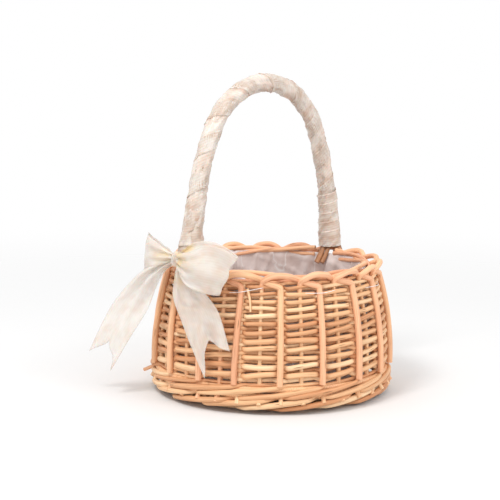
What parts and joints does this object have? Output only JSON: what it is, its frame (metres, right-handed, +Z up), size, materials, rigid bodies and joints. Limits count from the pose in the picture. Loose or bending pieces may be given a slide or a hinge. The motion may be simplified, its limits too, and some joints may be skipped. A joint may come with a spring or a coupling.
{
  "type": "flower girl basket",
  "caption": "Small round willow basket on a rope-like foot, with a fixed ribbon-wrapped hoop handle, a satin bow and a film liner; it carries petals at a wedding.",
  "frame": {"origin": "middle of the footprint, on the surface that the basket stands on", "axes": "+Z up; the handle's hoop stands parallel to the YZ plane; the bow is at the handle's foot on the -Y side"},
  "size_m": [0.2222, 0.2551, 0.2818],
  "materials": {
    "willow_weavers": "peeled willow rods, straw yellow, slightly glossy",
    "willow_foot": "peeled willow rods, tan",
    "willow_stakes": "peeled willow rods, tan",
    "willow_border": "peeled thick willow rods, orange tan",
    "willow_handle": "peeled willow rods, tan",
    "satin_wrap": "ivory satin ribbon, tightly wound",
    "satin_bow": "ivory satin ribbon",
    "film_liner": "thin wrinkled clear film",
    "clear_thread": "pale sewing thread"
  },
  "bodies": {
    "root": {"weaver_row_01": "willow_weavers", "weaver_row_02": "willow_weavers", "weaver_row_03": "willow_weavers", "weaver_row_04": "willow_weavers", "weaver_row_05": "willow_weavers", "weaver_row_06": "willow_weavers", "weaver_row_07": "willow_weavers", "weaver_row_08": "willow_weavers", "weaver_row_09": "willow_weavers", "weaver_row_10": "willow_weavers", "weaver_row_11": "willow_weavers", "weaver_row_12": "willow_weavers", "weaver_row_13": "willow_weavers", "weaver_row_14": "willow_weavers", "weaver_row_15": "willow_weavers", "weaver_row_16": "willow_weavers", "weaver_row_17": "willow_weavers", "weaver_row_18": "willow_weavers", "weaver_row_19": "willow_weavers", "weaver_row_20": "willow_weavers", "weaver_row_21": "willow_weavers", "weaver_row_22": "willow_weavers", "weaver_row_23": "willow_weavers", "weaver_row_24": "willow_weavers", "base_weave": "willow_weavers", "loose_twig": "willow_weavers", "foot_wale_rod_1": "willow_foot", "foot_wale_rod_2": "willow_foot", "foot_wale_rod_3": "willow_foot", "foot_wale_rod_4": "willow_foot", "foot_wale_rod_5": "willow_foot", "foot_packing_rods": "willow_foot", "base_sticks_lower": "willow_foot", "base_sticks_upper": "willow_foot", "hidden_stakes": "willow_stakes", "thin_stakes": "willow_stakes", "cut_rod_end": "willow_stakes", "outer_uprights": "willow_border", "border_rods": "willow_border", "border_hoops": "willow_border", "handle_core_rod": "willow_handle", "handle_inner_rods": "willow_handle", "handle_outer_rods": "willow_handle", "handle_ribbon": "satin_wrap", "foot_wrap_near": "satin_wrap", "foot_wrap_far": "satin_wrap", "bow_knot": "satin_bow", "bow_loop_left": "satin_bow", "bow_loop_right": "satin_bow", "bow_tail_left": "satin_bow", "bow_tail_right": "satin_bow", "liner_side": "film_liner", "liner_floor": "film_liner", "liner_stitches": "clear_thread"}
  },
  "joints": []
}
